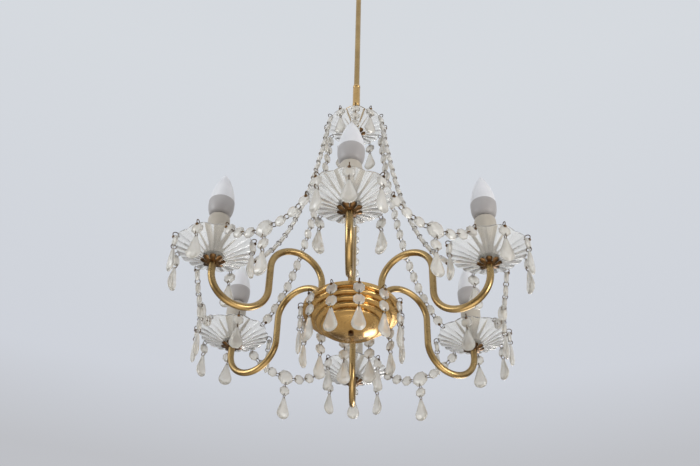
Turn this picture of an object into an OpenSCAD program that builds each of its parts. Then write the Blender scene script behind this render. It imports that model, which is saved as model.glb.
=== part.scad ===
// Six-light brass and crystal chandelier that hangs from a ceiling hook on a rod.
// Millimetres. The origin is the centre of the ceiling face and +Z points up.
// Heights named "above the pans" are counted from the level of the candle pans.

/* [Hanging] */
// Ceiling face down to the level of the candle pans
drop_height = 1000; // [940:10:1200]
// Outside radius of the drop rod
rod_r = 5; // [4.5:0.5:5.5]
// Rim radius of the ceiling canopy
canopy_r = 60; // [56:1:70]
// Depth of the ceiling canopy
canopy_depth = 68; // [64:1:80]
// Gap between the canopy's rim and the ceiling
canopy_gap = 5; // [4.5:0.5:8]
// Distance between the bracket's two screw holes
bracket_spacing = 70; // [60:1:76]

/* [Arms] */
// Distance from the axis to each candle
candle_ring_r = 217; // [215:1:221]
// Distance from the axis to the foot of each arm
arm_foot_r = 50; // [48:1:52]
// Outside radius of the arm tube
arm_r = 5; // [4.5:0.5:5.5]
// Radius of the arch at the inner end of an arm
arch_r = 41; // [39:1:42]
// Height of the arch's centre above the pans
arch_z = 27; // [22:1:29]
// Depth of the cup bend's centre below the pans
cup_z = 12; // [8:1:16]

/* [Glass dishes] */
// Rim radius of a candle's glass dish
dish_r = 55; // [53:1:56]
// Height of that rim above the pans
dish_h = 28; // [27:1:29]
// Glass thickness at the rim
dish_wall = 2.5; // [2:0.5:3]
// Rim radius of the crown's glass dish
crown_r = 48; // [46:1:50]
// Height of the crown's rim above the pans
crown_z = 386; // [385:1:388]

/* [Candles] */
// Outside radius of the candle sleeve
sleeve_r = 15.5; // [15:0.5:16]
// Height of the sleeve's top above the pans
sleeve_top = 82; // [80:1:84]
// Largest radius of the lamp, which is a standard candle lamp
lamp_r = 18.5; // [17.5:0.5:18.5]

/* [Bowl] */
// Rim radius of the bowl in the middle
bowl_r = 71.5; // [70:0.5:73]
// Number of crystal strings around the bowl
bowl_strings = 12; // [6:1:12]

/* [Crystals] */
// Large octagon in the middle of each swag, across its flats
rosette_w = 25; // [24:0.5:26]
// Thickness of the large octagon at its middle
rosette_t = 12; // [8:1:14]
// Length of a pear drop
drop_l = 38; // [34:1:40]
// Width of a pear drop
drop_w = 20.5; // [18:0.5:22]

/* [Hidden] */
$fn = 64;

// Arms: number 1 points to -Y and the others follow every 60 degrees, anticlockwise from above.
arm_count = 6;
arm_step = 360 / arm_count;
function arm_turn(k) = arm_step * (k - 1) - 90;
function swag_turn(k) = arm_turn(k) + arm_step / 2;
cup_r = (candle_ring_r - arm_foot_r - 2 * arch_r) / 2;
arm_bore = arm_r - 1.2;
arm_end = 12;
fit_gap = 0.1;

// Ceiling hook and the eye that hangs on it.
bracket_t = 3;
hook_wire = 3;
hook_r = 10;
hook_z = 26;
eye_r = 8;
swing_z = hook_z + hook_r;
eye_z = swing_z - 2 * hook_wire - fit_gap + eye_r;
eye_boss_r = rod_r + 1.6;
eye_top = eye_z + eye_r;
eye_end = eye_top + 18;
rod_top = eye_end - 12;
canopy_wall = 1.2;
canopy_neck = 8;
canopy_end = canopy_gap + canopy_depth + 2;
collar_h = 12;
collar_r = 9;

// Rod, coupling and column.
coupling_low = 430;
coupling_top = 490;
coupling_r = rod_r + 1.5;
column_r = rod_r + 0.3;
column_bore = 3.6;
rod_joint = (coupling_low + coupling_top) / 2;
hub_h = 22.2;
// The crown's nut stays on the flat ring round the glass hub's bore.
crown_nut_w = 13.5;
crown_hub = crown_z - hub_h;

// Bowl.
bowl_wall = 1.2;
skirt_h = 7;
bowl_depth = 40;
dome_r = 36;
dome_top = 31;
cover_r = bowl_r - 3;
cover_z = 1.5;
cover_t = 1.5;

// Candle, from its pan up.
nipple_r = arm_bore - fit_gap;
pan_r = 17;
holder_r = 12.6;
holder_z = 12;
holder_top = 70;
cap_r = 6.9;
cap_low = 58;
base_low = 84;
base_top = 110;
lamp_tip = 164;

// Beads: a hole near each end, and thin edges that leave a ring room to turn.
// A crown chain clears the arm below it because its beads and rings have these fixed sizes.
octagon_w = 16;
ring_r = 3.8;
chain_count = 19;
hole_r = 1.2;
hole_in = 1.8;
edge_t = 2.4;
bead_t = 6.4;
wire_r = 0.4;
ring_d = 2 * ring_r;
octagon_span = octagon_w - 2 * hole_in;
rosette_span = rosette_w - 2 * hole_in;
drop_hole = 2.2;
pin_in = 2.5;
pin_ring_r = 4.4;
pin_low = dish_wall / 2 + 0.5;
pin_z = dish_h - pin_low;
bowl_pin_x = bowl_r + 2.1;
bowl_pin_z = 1.2;
bowl_first = 9;

// Pear outline, hole at the origin: a tip circle and a belly circle with straight flanks.
tip_r = drop_hole;
belly_r = drop_w / 2;
belly_y = drop_l - tip_r - belly_r;
flank = asin((belly_r - tip_r) / belly_y);
function arc_points(r, y, from, to, n) =
  [for (i = [0:n]) let (a = from + (to - from) * i / n) [r * cos(a), y + r * sin(a)]];
function pear() = concat(
  arc_points(tip_r, 0, flank, 180 - flank, 6),
  arc_points(belly_r, -belly_y, 180 - flank, 360 + flank, 18)
);

// Crown chain: a catenary of the chain's own length between its two pins.
chain_l = chain_count * octagon_span + (chain_count - 1) * ring_d;
chain_x0 = crown_r - pin_in + pin_ring_r;
chain_z0 = crown_z - pin_low - pin_ring_r;
// Its lower ring goes through the dish's inner hole, and the chain pulls on it at this slope.
chain_lean = 38;
chain_ring_x = candle_ring_r - dish_r + pin_in - pin_ring_r;
chain_x1 = chain_ring_x - pin_ring_r * cos(chain_lean);
chain_z1 = pin_z + pin_ring_r * sin(chain_lean);
chain_dx = chain_x1 - chain_x0;
chain_dz = chain_z0 - chain_z1;
deg = 180 / PI;
function sinh(x) = (exp(x) - exp(-x)) / 2;
function cosh(x) = (exp(x) + exp(-x)) / 2;
function asinh(x) = ln(x + sqrt(x * x + 1));
function slack(a) = 2 * a * sinh(chain_dx / (2 * a)) - sqrt(chain_l * chain_l - chain_dz * chain_dz);
function solve_a(lo, hi, n) =
  n == 0 ? (lo + hi) / 2
  : slack((lo + hi) / 2) > 0 ? solve_a((lo + hi) / 2, hi, n - 1)
  : solve_a(lo, (lo + hi) / 2, n - 1);
chain_a = solve_a(12, 400, 40);
chain_low_x = (chain_x0 + chain_x1) / 2
  + chain_a * asinh(chain_dz / (2 * chain_a * sinh(chain_dx / (2 * chain_a))));
chain_low_z = chain_z1 - chain_a * (cosh((chain_x1 - chain_low_x) / chain_a) - 1);
chain_s0 = chain_a * sinh((chain_x0 - chain_low_x) / chain_a);
// Point of the chain at a length s from its upper pin, as [x, z].
function chain_point(s) =
  let (x = chain_a * asinh((chain_s0 + s) / chain_a))
  [chain_low_x + x, chain_low_z + chain_a * (cosh(x / chain_a) - 1)];

// Swag: a shallow arc of its own length between the pins of two neighbouring dishes.
swag_x = candle_ring_r * cos(arm_step / 2) + (dish_r - pin_in) * sin(arm_step / 2) + pin_ring_r;
swag_y = candle_ring_r * sin(arm_step / 2) - (dish_r - pin_in) * cos(arm_step / 2);
swag_z = pin_z - pin_ring_r;
swag_l = 6 * octagon_span + rosette_span + 6 * ring_d;
function spread(t) = sin(t) / (t / deg) - 2 * swag_y / swag_l;
function solve_t(lo, hi, n) =
  n == 0 ? (lo + hi) / 2
  : spread((lo + hi) / 2) > 0 ? solve_t((lo + hi) / 2, hi, n - 1)
  : solve_t(lo, (lo + hi) / 2, n - 1);
swag_t = solve_t(1, 89, 30);
swag_arc = swag_l / 2 / (swag_t / deg);
// Point of the swag at a length s from its middle, as [y, z] with the pins' level at 0.
function swag_point(s) =
  let (t = s / swag_arc * deg)
  [swag_arc * sin(t), swag_arc * (cos(swag_t) - cos(t))];
rosette_z = swag_point(rosette_span / 2)[1];
drop_pivot_z = rosette_z - rosette_span / 2;

module at_pans() translate([0, 0, -drop_height]) children();
module around(angle) at_pans() rotate([0, 0, angle]) children();
module at_candle(k) around(arm_turn(k)) translate([candle_ring_r, 0, 0]) children();
module tube(outer, inner, low, high) {
  difference() {
    translate([0, 0, low]) cylinder(r = outer, h = high - low);
    translate([0, 0, low - 1]) cylinder(r = inner, h = high - low + 2);
  }
}
module hex_nut(across, inner, low, high) {
  difference() {
    translate([0, 0, low]) cylinder(r = across / 2 / cos(30), h = high - low, $fn = 6);
    translate([0, 0, low - 1]) cylinder(r = inner, h = high - low + 2);
  }
}

// Crystals. Each one lies in the YZ plane, faces +X, and hangs from the hole at the origin.
module plate(across, thick) {
  rotate([0, 90, 0]) rotate([0, 0, 22.5])
    cylinder(r = across / 2 / cos(22.5), h = thick, center = true, $fn = 8);
}
module bead_hole() rotate([0, 90, 0]) cylinder(r = hole_r, h = bead_t + 2, center = true);
// Each step is a thicker octagon on the thin one, as [width, thickness].
module cut_octagon(across, steps) {
  span = across - 2 * hole_in;
  translate([0, 0, -span / 2])
    difference() {
      union() {
        plate(across, edge_t);
        for (step = steps) plate(step[0], step[1]);
      }
      translate([0, 0, span / 2]) bead_hole();
      translate([0, 0, -span / 2]) bead_hole();
      children();
    }
}
module octagon() cut_octagon(octagon_w, [[octagon_w / 2, bead_t]]);
// The large octagon hangs by its two side holes and has a third for the drop.
module rosette() {
  translate([0, 0, rosette_span / 2])
    cut_octagon(rosette_w, [[rosette_w * 0.72, bead_t], [rosette_w * 0.48, rosette_t]]) {
      translate([0, rosette_span / 2, 0]) bead_hole();
      translate([0, -rosette_span / 2, 0]) bead_hole();
    }
}
module pear_slab(thick) {
  rotate([90, 0, 90]) linear_extrude(height = thick, center = true) polygon(pear());
}
module pear_drop() {
  difference() {
    union() {
      pear_slab(edge_t);
      intersection() {
        pear_slab(8);
        translate([0, 0, -drop_l / 2 - 8]) cube([20, drop_w + 2, drop_l], center = true);
      }
    }
    bead_hole();
  }
}
// A ring in the XZ plane, round the origin.
module ring(r = ring_r) rotate([90, 0, 0]) rotate_extrude() translate([r, 0]) circle(r = wire_r, $fn = 24);
module hanging_ring(z) translate([0, 0, z - ring_r]) ring();
// The larger ring that holds a string: its lowest point is the origin.
module pin_ring() translate([0, 0, pin_ring_r]) ring(pin_ring_r);

// A string is octagons and then a pear drop, from the hole of its first octagon down.
module string_octagons(count) {
  for (i = [0:count - 1]) translate([0, 0, -i * (octagon_span + ring_d)]) octagon();
}
module string_rings(count) {
  for (i = [1:count]) hanging_ring(-i * octagon_span - (i - 1) * ring_d);
}
module string_drop(count) translate([0, 0, -count * (octagon_span + ring_d)]) pear_drop();

// Where the fixed strings hang: child 0 is drawn at each one, facing away from its dish.
candle_pins = [0, 45, -45, 135, -135];
module at_dish_strings() {
  for (k = [1:arm_count])
    for (a = candle_pins)
      at_candle(k) rotate([0, 0, a])
        translate([dish_r - pin_in + pin_ring_r, 0, pin_z - pin_ring_r]) children();
}
module at_crown_strings() {
  for (k = [1:arm_count])
    around(swag_turn(k)) translate([chain_x0, 0, chain_z0]) children();
}
module at_bowl_strings() {
  for (i = [0:bowl_strings - 1])
    around(bowl_first - 90 + 360 * i / bowl_strings)
      translate([bowl_pin_x, 0, -bowl_pin_z - pin_ring_r]) children();
}

module ceiling_bracket() {
  color("silver")
    difference() {
      translate([0, 0, -bracket_t / 2]) cube([100, 25, bracket_t], center = true);
      for (x = [-bracket_spacing / 2, bracket_spacing / 2])
        translate([x, 0, -bracket_t - 1]) cylinder(r = 2.75, h = bracket_t + 2);
      translate([0, 0, -bracket_t - 1]) cylinder(r = 4 + fit_gap, h = bracket_t + 2);
    }
}

module ceiling_hook() {
  color("silver") {
    translate([0, 0, -hook_z + hook_r - 1]) cylinder(r = 4, h = hook_z - hook_r + 0.5);
    translate([0, 0, -hook_z]) rotate([0, -90, 0])
      rotate_extrude(angle = 295) translate([hook_r, 0]) circle(r = hook_wire);
  }
}

module hook_nut() color("silver") hex_nut(13, 4 + fit_gap, -bracket_t - 6, -bracket_t);

function canopy_outline(inset) = [
  for (t = [0:10:90])
    [canopy_neck + (canopy_r - canopy_neck - inset) * cos(t),
     -canopy_gap - (canopy_depth - inset) * sin(t)]
];
module canopy() {
  color("goldenrod")
    difference() {
      rotate_extrude() polygon(concat(
        canopy_outline(0),
        [[canopy_neck, -canopy_end], [0, -canopy_end], [0, -canopy_gap - canopy_depth + canopy_wall]],
        [for (i = [9:-1:0]) canopy_outline(canopy_wall)[i]]
      ));
      translate([0, 0, -canopy_end - 1]) cylinder(r = rod_r + fit_gap, h = 8);
    }
}

module canopy_collar() {
  color("goldenrod")
    difference() {
      tube(collar_r, rod_r + fit_gap, -canopy_end - collar_h, -canopy_end);
      translate([0, 0, -canopy_end - collar_h / 2]) rotate([90, 0, 0]) cylinder(r = 1.6, h = collar_r + 1);
    }
}

module collar_screw() {
  color("goldenrod")
    translate([0, 0, -canopy_end - collar_h / 2]) rotate([90, 0, 0]) {
      translate([0, 0, rod_r + fit_gap]) cylinder(r = 1.5, h = collar_r - rod_r + 1);
      translate([0, 0, collar_r + 0.2]) cylinder(r = 4, h = 4);
    }
}

module rod_eye() {
  color("goldenrod")
    difference() {
      union() {
        translate([0, 0, -eye_z]) rotate([90, 0, 0])
          rotate_extrude() translate([eye_r, 0]) circle(r = hook_wire);
        translate([0, 0, -eye_end]) cylinder(r = eye_boss_r, h = eye_end - eye_top);
      }
      translate([0, 0, -eye_end - 1]) cylinder(r = rod_r + 0.02, h = eye_end - rod_top + 1);
    }
}

module drop_rod() color("goldenrod") tube(rod_r, 3.5, -drop_height + rod_joint, -rod_top);

module rod_coupling() {
  color("goldenrod") at_pans()
    difference() {
      translate([0, 0, coupling_low]) cylinder(r = coupling_r, h = coupling_top - coupling_low);
      translate([0, 0, coupling_low - 1]) cylinder(r = column_r + 0.02, h = rod_joint - coupling_low + 1);
      translate([0, 0, rod_joint]) cylinder(r = rod_r + 0.02, h = coupling_top - rod_joint + 1);
    }
}

module centre_column() {
  color("goldenrod") at_pans() tube(column_r, column_bore, -bowl_depth + bowl_wall + 0.4, rod_joint);
}

module crown_collar() {
  color("goldenrod") at_pans() tube(8.5, column_r + 0.02, crown_hub - 7, crown_hub);
}

// Stamped petal pan: a shallow cup with slots between its petals.
module petal_pan(bore) {
  difference() {
    rotate_extrude() polygon([
      [bore, 0], [bore + 3.2, 0], [pan_r, 4.6], [pan_r, 5.4], [bore + 3, 0.8], [bore, 0.8]
    ]);
    for (i = [0:7])
      rotate([0, 0, 22.5 + 45 * i]) translate([pan_r * 0.56, -1.1, -1]) cube([pan_r, 2.2, 8]);
  }
}
module crown_pan() color("goldenrod") at_pans() translate([0, 0, crown_hub]) petal_pan(column_r + fit_gap);

// Moulded glass dish: a hub, a wall that flares to the rim, and holes for the pins.
function flare(bore, rim, rise) = [
  for (i = [0:12])
    let (t = i / 12)
    [bore + 2.6 + (rim - bore - 2.6) * t, rise * pow(t, 0.8)]
];
module glass_dish(bore, rim, height, pins) {
  base = 1.2;
  rise = height - base - dish_wall;
  under = flare(bore, rim, rise);
  difference() {
    rotate_extrude() polygon(concat(
      [[bore, base]],
      [for (p = under) [p[0], p[1] + base]],
      [for (i = [12:-1:1]) [under[i][0], under[i][1] + base + dish_wall]],
      [[bore + 2.6, base + dish_wall + 0.4], [bore, base + dish_wall + 0.4]]
    ));
    for (a = pins)
      rotate([0, 0, a]) translate([rim - pin_in, 0, height - dish_wall - 4])
        cylinder(r = hole_r, h = dish_wall + 8);
  }
}
crown_pins = [for (i = [0:11]) 30 * i];
module crown_dish() {
  color("gainsboro") at_pans() translate([0, 0, crown_hub])
    glass_dish(column_r + fit_gap, crown_r, hub_h, crown_pins);
}

module crown_nut() {
  color("goldenrod") at_pans() hex_nut(crown_nut_w, column_r + 0.02, crown_hub + 4.3, crown_hub + 10);
}

module bowl_cover() {
  color("goldenrod") at_pans()
    difference() {
      translate([0, 0, -cover_z - cover_t]) cylinder(r = cover_r, h = cover_t);
      translate([0, 0, -cover_z - cover_t - 1]) cylinder(r = column_r + 0.02, h = cover_t + 2);
      for (k = [1:arm_count])
        rotate([0, 0, arm_turn(k)]) translate([arm_foot_r, 0, -cover_z - cover_t - 1])
          cylinder(r = arm_r + 0.02, h = cover_t + 2);
    }
}

// Stepped bowl: a straight skirt, four rounded bands and a shallow dome.
band_count = 4;
band_w = 7.5;
band_h = (dome_top - skirt_h) / band_count;
function band(i) = [
  for (t = [0:30:90])
    [bowl_r - 4.5 - band_w * i - band_w * 0.3 * (1 - cos(t)),
     -skirt_h - band_h * (i + 0.25 + 0.75 * sin(t))]
];
dome_ball = (dome_r * dome_r + pow(bowl_depth - dome_top, 2)) / (2 * (bowl_depth - dome_top));
dome_angle = asin(dome_r / dome_ball);
bowl_outline = concat(
  [[bowl_r, 0], [bowl_r, -skirt_h]],
  [for (i = [0:band_count - 1]) for (p = band(i)) p],
  [for (i = [0:7])
    let (a = dome_angle * (1 - i / 8))
    [dome_ball * sin(a), -bowl_depth + dome_ball * (1 - cos(a))]],
  [[0, -bowl_depth]]
);
module bowl_shell() {
  last = len(bowl_outline) - 1;
  color("goldenrod") at_pans()
    difference() {
      rotate_extrude() polygon(concat(
        bowl_outline,
        [[0, -bowl_depth + bowl_wall]],
        [for (i = [last - 1:-1:1]) bowl_outline[i] + [-bowl_wall, bowl_wall]],
        [[bowl_r - bowl_wall, 0]]
      ));
      translate([0, 0, -bowl_depth - 1]) cylinder(r = 2.8, h = 4);
      for (i = [0:bowl_strings - 1])
        rotate([0, 0, bowl_first - 90 + 360 * i / bowl_strings])
          translate([bowl_r - 4, 0, -4.6]) rotate([0, 90, 0]) cylinder(r = hole_r, h = 8);
    }
}

module bowl_cap_nut() {
  color("goldenrod") at_pans() {
    translate([0, 0, -bowl_depth - 0.8]) cylinder(r = 2.6, h = 14);
    translate([0, 0, -bowl_depth - 3]) cylinder(r = 4, h = 3);
  }
}

module terminal_block() {
  color("ivory") at_pans()
    difference() {
      translate([10, -18, -cover_z - cover_t - 12]) cube([14, 36, 12]);
      for (y = [-12, 0, 12])
        translate([9, y, -cover_z - cover_t - 6]) rotate([0, 90, 0]) cylinder(r = 2.2, h = 16);
    }
}

// The arm's centre line, drawn as a solid of radius r. Its ends run on by extra.
module arm_run(r, extra) {
  arch_x = arm_foot_r + arch_r;
  fall_x = arm_foot_r + 2 * arch_r;
  cup_x = fall_x + cup_r;
  translate([arm_foot_r, 0, -arm_end - extra]) cylinder(r = r, h = arm_end + arch_z + extra);
  translate([arch_x, 0, arch_z]) rotate([90, 0, 0])
    rotate_extrude(angle = 180) translate([arch_r, 0]) circle(r = r);
  translate([fall_x, 0, -cup_z]) cylinder(r = r, h = cup_z + arch_z);
  translate([cup_x, 0, -cup_z]) rotate([-90, 0, 0])
    rotate_extrude(angle = 180) translate([cup_r, 0]) circle(r = r);
  translate([candle_ring_r, 0, -cup_z]) cylinder(r = r, h = cup_z + extra);
}
module arm(k) {
  color("goldenrod") around(arm_turn(k))
    difference() {
      arm_run(arm_r, 0);
      arm_run(arm_bore, 1);
    }
}

module arm_nuts() {
  color("goldenrod")
    for (k = [1:arm_count])
      around(arm_turn(k)) translate([arm_foot_r, 0, 0])
        hex_nut(14, arm_r + 0.02, -cover_z - cover_t - 5, -cover_z - cover_t);
}

module arm_wires() {
  color("white")
    for (k = [1:arm_count])
      around(arm_turn(k)) arm_run(1.6, 2);
}

module candle_pans() {
  color("goldenrod")
    for (k = [1:arm_count]) at_candle(k) petal_pan(nipple_r + fit_gap);
}

module candle_nipples() {
  color("goldenrod")
    for (k = [1:arm_count]) at_candle(k) tube(nipple_r, 2.5, -10, holder_z + 6);
}

module candle_dishes() {
  color("gainsboro")
    for (k = [1:arm_count])
      at_candle(k) glass_dish(nipple_r + fit_gap, dish_r, dish_h, [for (i = [0:7]) 45 * i]);
}

// Lampholder: a threaded foot, a body and the socket for the lamp's cap.
module lampholders() {
  color("whitesmoke")
    for (k = [1:arm_count])
      at_candle(k)
        difference() {
          union() {
            translate([0, 0, 4.3]) cylinder(r = 6, h = holder_z - 4.3);
            translate([0, 0, holder_z]) cylinder(r = holder_r, h = 30);
            translate([0, 0, holder_z + 30]) cylinder(r = 9.5, h = holder_top - holder_z - 30);
          }
          translate([0, 0, 3]) cylinder(r = nipple_r + 0.02, h = holder_z + 4);
          translate([0, 0, cap_low - 4]) cylinder(r = cap_r + fit_gap, h = 20);
        }
}

module candle_sleeves() {
  low = 11;
  bore = sleeve_r - 1.6;
  neck = 10.6;
  color("ivory")
    for (k = [1:arm_count])
      at_candle(k)
        rotate_extrude() polygon(concat(
          [[bore, low], [sleeve_r, low]],
          [for (t = [0:15:90])
            [neck + 1.2 + (sleeve_r - neck - 1.2) * cos(t), sleeve_top - 7 + 7 * sin(t)]],
          [[neck, sleeve_top], [neck, sleeve_top - 1.6], [bore, sleeve_top - 8.5]]
        ));
}

// Candle lamp: the metal cap and the grey collar are one piece, the opal globe another.
module bulb_base(k) {
  color("lightgrey") at_candle(k) {
    translate([0, 0, cap_low]) cylinder(r = cap_r, h = base_low - cap_low + 1);
    rotate_extrude() polygon(concat(
      [[0, base_low], [11.8, base_low]],
      [for (t = [0:10:90]) [12.4 + (lamp_r - 12.4) * sin(t), base_low + 1 + 20 * (1 - cos(t))]],
      [[lamp_r, base_top], [0, base_top]]
    ));
  }
}
module bulb_globe(k) {
  rise = lamp_tip - base_top;
  color("white") at_candle(k)
    rotate_extrude() polygon(concat(
      [[0, base_top]],
      [for (i = [0:16])
        let (t = i / 16)
        [(lamp_r - 0.2) * pow(1 - pow(t, 1.7), 0.85), base_top + rise * t]]
    ));
}

// A swag swings about the line through its pins, so it is drawn from that line.
module at_swag(k) around(swag_turn(k)) translate([swag_x, 0, swag_z]) children();
// Draws its child between two lengths along the swag, hanging from the higher one.
module along_swag(from, span) {
  a = swag_point(from);
  b = swag_point(from + span);
  translate([0, a[0], a[1]]) rotate([atan2(b[1] - a[1], b[0] - a[0]) + 90, 0, 0]) children();
}
module swag(k) {
  half = rosette_span / 2;
  color("gainsboro") at_swag(k) {
    translate([0, 0, rosette_z]) rosette();
    for (side = [0, 1])
      mirror([0, side, 0])
        for (i = [0:2]) {
          start = half + ring_d + i * (octagon_span + ring_d);
          along_swag(start - ring_d, ring_d) hanging_ring(0);
          along_swag(start, octagon_span) octagon();
        }
  }
}
module swag_drop(k) {
  color("gainsboro") at_swag(k) translate([0, 0, drop_pivot_z]) {
    hanging_ring(0);
    translate([0, 0, -ring_d]) {
      string_octagons(1);
      string_rings(1);
      string_drop(1);
    }
  }
}

module along_chain(k, from, span) {
  a = chain_point(from);
  b = chain_point(from + span);
  around(arm_turn(k)) translate([a[0], 0, a[1]])
    rotate([0, atan2(a[1] - b[1], b[0] - a[0]) - 90, 0]) children();
}
chain_pitch = octagon_span + ring_d;
module chain_beads() {
  color("gainsboro")
    for (k = [1:arm_count])
      for (i = [0:chain_count - 1])
        along_chain(k, i * chain_pitch, octagon_span) octagon();
}

module string_beads() {
  color("gainsboro") {
    at_dish_strings() string_octagons(1);
    at_crown_strings() string_octagons(1);
    at_bowl_strings() string_octagons(2);
  }
}

module string_drops() {
  color("gainsboro") {
    at_dish_strings() string_drop(1);
    at_crown_strings() string_drop(1);
    at_bowl_strings() string_drop(2);
  }
}

module wire_links() {
  color("dimgray") {
    at_dish_strings() {
      pin_ring();
      string_rings(1);
    }
    at_crown_strings() {
      pin_ring();
      string_rings(1);
    }
    at_bowl_strings() {
      pin_ring();
      string_rings(2);
    }
    for (k = [1:arm_count]) {
      around(arm_turn(k)) translate([chain_x0, 0, chain_z0]) pin_ring();
      around(arm_turn(k)) translate([chain_ring_x, 0, pin_z]) ring(pin_ring_r);
      for (i = [1:chain_count - 1])
        along_chain(k, i * chain_pitch - ring_d, ring_d) hanging_ring(0);
      for (side = [-1, 1])
        at_swag(k) translate([0, side * swag_y, 0]) pin_ring();
    }
  }
}

ceiling_bracket();
ceiling_hook();
hook_nut();
canopy();
canopy_collar();
collar_screw();
rod_eye();
drop_rod();
rod_coupling();
centre_column();
crown_collar();
crown_pan();
crown_dish();
crown_nut();
bowl_cover();
bowl_shell();
bowl_cap_nut();
terminal_block();
arm(1);  // arm_1
arm(2);  // arm_2
arm(3);  // arm_3
arm(4);  // arm_4
arm(5);  // arm_5
arm(6);  // arm_6
arm_nuts();
arm_wires();
candle_pans();
candle_nipples();
candle_dishes();
lampholders();
candle_sleeves();
bulb_base(1);  // bulb_base_1
bulb_base(2);  // bulb_base_2
bulb_base(3);  // bulb_base_3
bulb_base(4);  // bulb_base_4
bulb_base(5);  // bulb_base_5
bulb_base(6);  // bulb_base_6
bulb_globe(1);  // bulb_globe_1
bulb_globe(2);  // bulb_globe_2
bulb_globe(3);  // bulb_globe_3
bulb_globe(4);  // bulb_globe_4
bulb_globe(5);  // bulb_globe_5
bulb_globe(6);  // bulb_globe_6
swag(1);  // swag_1
swag(2);  // swag_2
swag(3);  // swag_3
swag(4);  // swag_4
swag(5);  // swag_5
swag(6);  // swag_6
swag_drop(1);  // swag_drop_1
swag_drop(2);  // swag_drop_2
swag_drop(3);  // swag_drop_3
swag_drop(4);  // swag_drop_4
swag_drop(5);  // swag_drop_5
swag_drop(6);  // swag_drop_6
chain_beads();
string_beads();
string_drops();
wire_links();
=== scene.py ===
import math

import bmesh
import bpy
from mathutils import Matrix, Vector


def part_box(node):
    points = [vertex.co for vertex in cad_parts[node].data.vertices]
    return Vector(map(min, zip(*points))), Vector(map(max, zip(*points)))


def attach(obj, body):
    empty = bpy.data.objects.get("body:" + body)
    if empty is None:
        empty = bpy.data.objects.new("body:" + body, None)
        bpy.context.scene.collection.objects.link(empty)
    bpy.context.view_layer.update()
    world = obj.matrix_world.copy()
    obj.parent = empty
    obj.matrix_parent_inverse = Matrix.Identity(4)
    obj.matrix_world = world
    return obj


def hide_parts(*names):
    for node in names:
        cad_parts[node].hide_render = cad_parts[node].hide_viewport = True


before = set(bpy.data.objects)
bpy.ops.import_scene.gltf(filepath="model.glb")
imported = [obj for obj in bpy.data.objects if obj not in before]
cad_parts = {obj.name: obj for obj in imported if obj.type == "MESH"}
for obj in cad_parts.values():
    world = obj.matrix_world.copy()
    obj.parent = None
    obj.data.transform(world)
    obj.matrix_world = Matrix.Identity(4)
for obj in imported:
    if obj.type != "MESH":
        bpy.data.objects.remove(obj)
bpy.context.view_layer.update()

# ---------------------------------------------------------------- the frame's own places
MM = 0.001
ARMS = 6
PAN_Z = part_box("candle_pans")[0].z
CANDLE_R = -(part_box("bulb_base_1")[0].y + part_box("bulb_base_1")[1].y) / 2 / MM


def height(z):
    """A height in metres, as millimetres above the candle pans."""
    return (z - PAN_Z) / MM


def top_of(node):
    return height(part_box(node)[1].z)


def foot_of(node):
    return height(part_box(node)[0].z)


def half_width(node):
    low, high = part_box(node)
    return (high.y - low.y) / 2 / MM


# Sizes in millimetres, as the CAD part has them.
DISH_R = half_width("candle_dishes") - CANDLE_R
DISH_H = top_of("candle_dishes")
CROWN_R = half_width("crown_dish")
CROWN_Z = top_of("crown_dish")
DISH_WALL = 2.5
HUB_H = 22.2
OCTAGON_W, ROSETTE_W = 16.0, 25.0
OCTAGON_T, ROSETTE_T = 6.4, 12.0
DROP_L, DROP_W = 38.0, 20.5
HOLE_IN, DROP_HOLE = 1.8, 2.2
HOLE_R = 1.2
BEAD_HOLE_R, DRILL_L = HOLE_R * 0.8, 12
RING_R, PIN_RING_R, WIRE_R = 3.8, 4.4, 0.6
# This wire is so much thicker than the frame's, each way, and its rings are drawn so much smaller.
WIRE_EXTRA = 0.2
PIN_IN = 2.5
PIN_LOW = DISH_WALL / 2 + 0.5
PIN_Z = DISH_H - PIN_LOW
CHAIN_COUNT, CHAIN_LEAN = 19, 38
BOWL_R = 71.5
BOWL_PIN_X, BOWL_PIN_Z = BOWL_R + 2.1, 1.2
BOWL_STRINGS, BOWL_FIRST = 12, 9.0
SPAN = OCTAGON_W - 2 * HOLE_IN
ROSETTE_SPAN = ROSETTE_W - 2 * HOLE_IN
PITCH = SPAN + 2 * RING_R


def arm_turn(k):
    return 60 * (k - 1) - 90


def shift(x=0.0, y=0.0, z=0.0):
    return Matrix.Translation((x * MM, y * MM, z * MM))


def turn(degrees, axis="Z"):
    return Matrix.Rotation(math.radians(degrees), 4, axis)


HERE = Matrix.Identity(4)
PANS = Matrix.Translation((0, 0, PAN_Z))


def around(degrees):
    return PANS @ turn(degrees)


def at_candle(k):
    return around(arm_turn(k)) @ shift(CANDLE_R)


def at_swag(k):
    return around(arm_turn(k) + 30) @ shift(SWAG_X, 0, SWAG_Z)


def bisect(f, low, high):
    """Where f, which falls from positive to negative, passes zero."""
    for _ in range(60):
        middle = (low + high) / 2
        low, high = (middle, high) if f(middle) > 0 else (low, middle)
    return low


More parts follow.
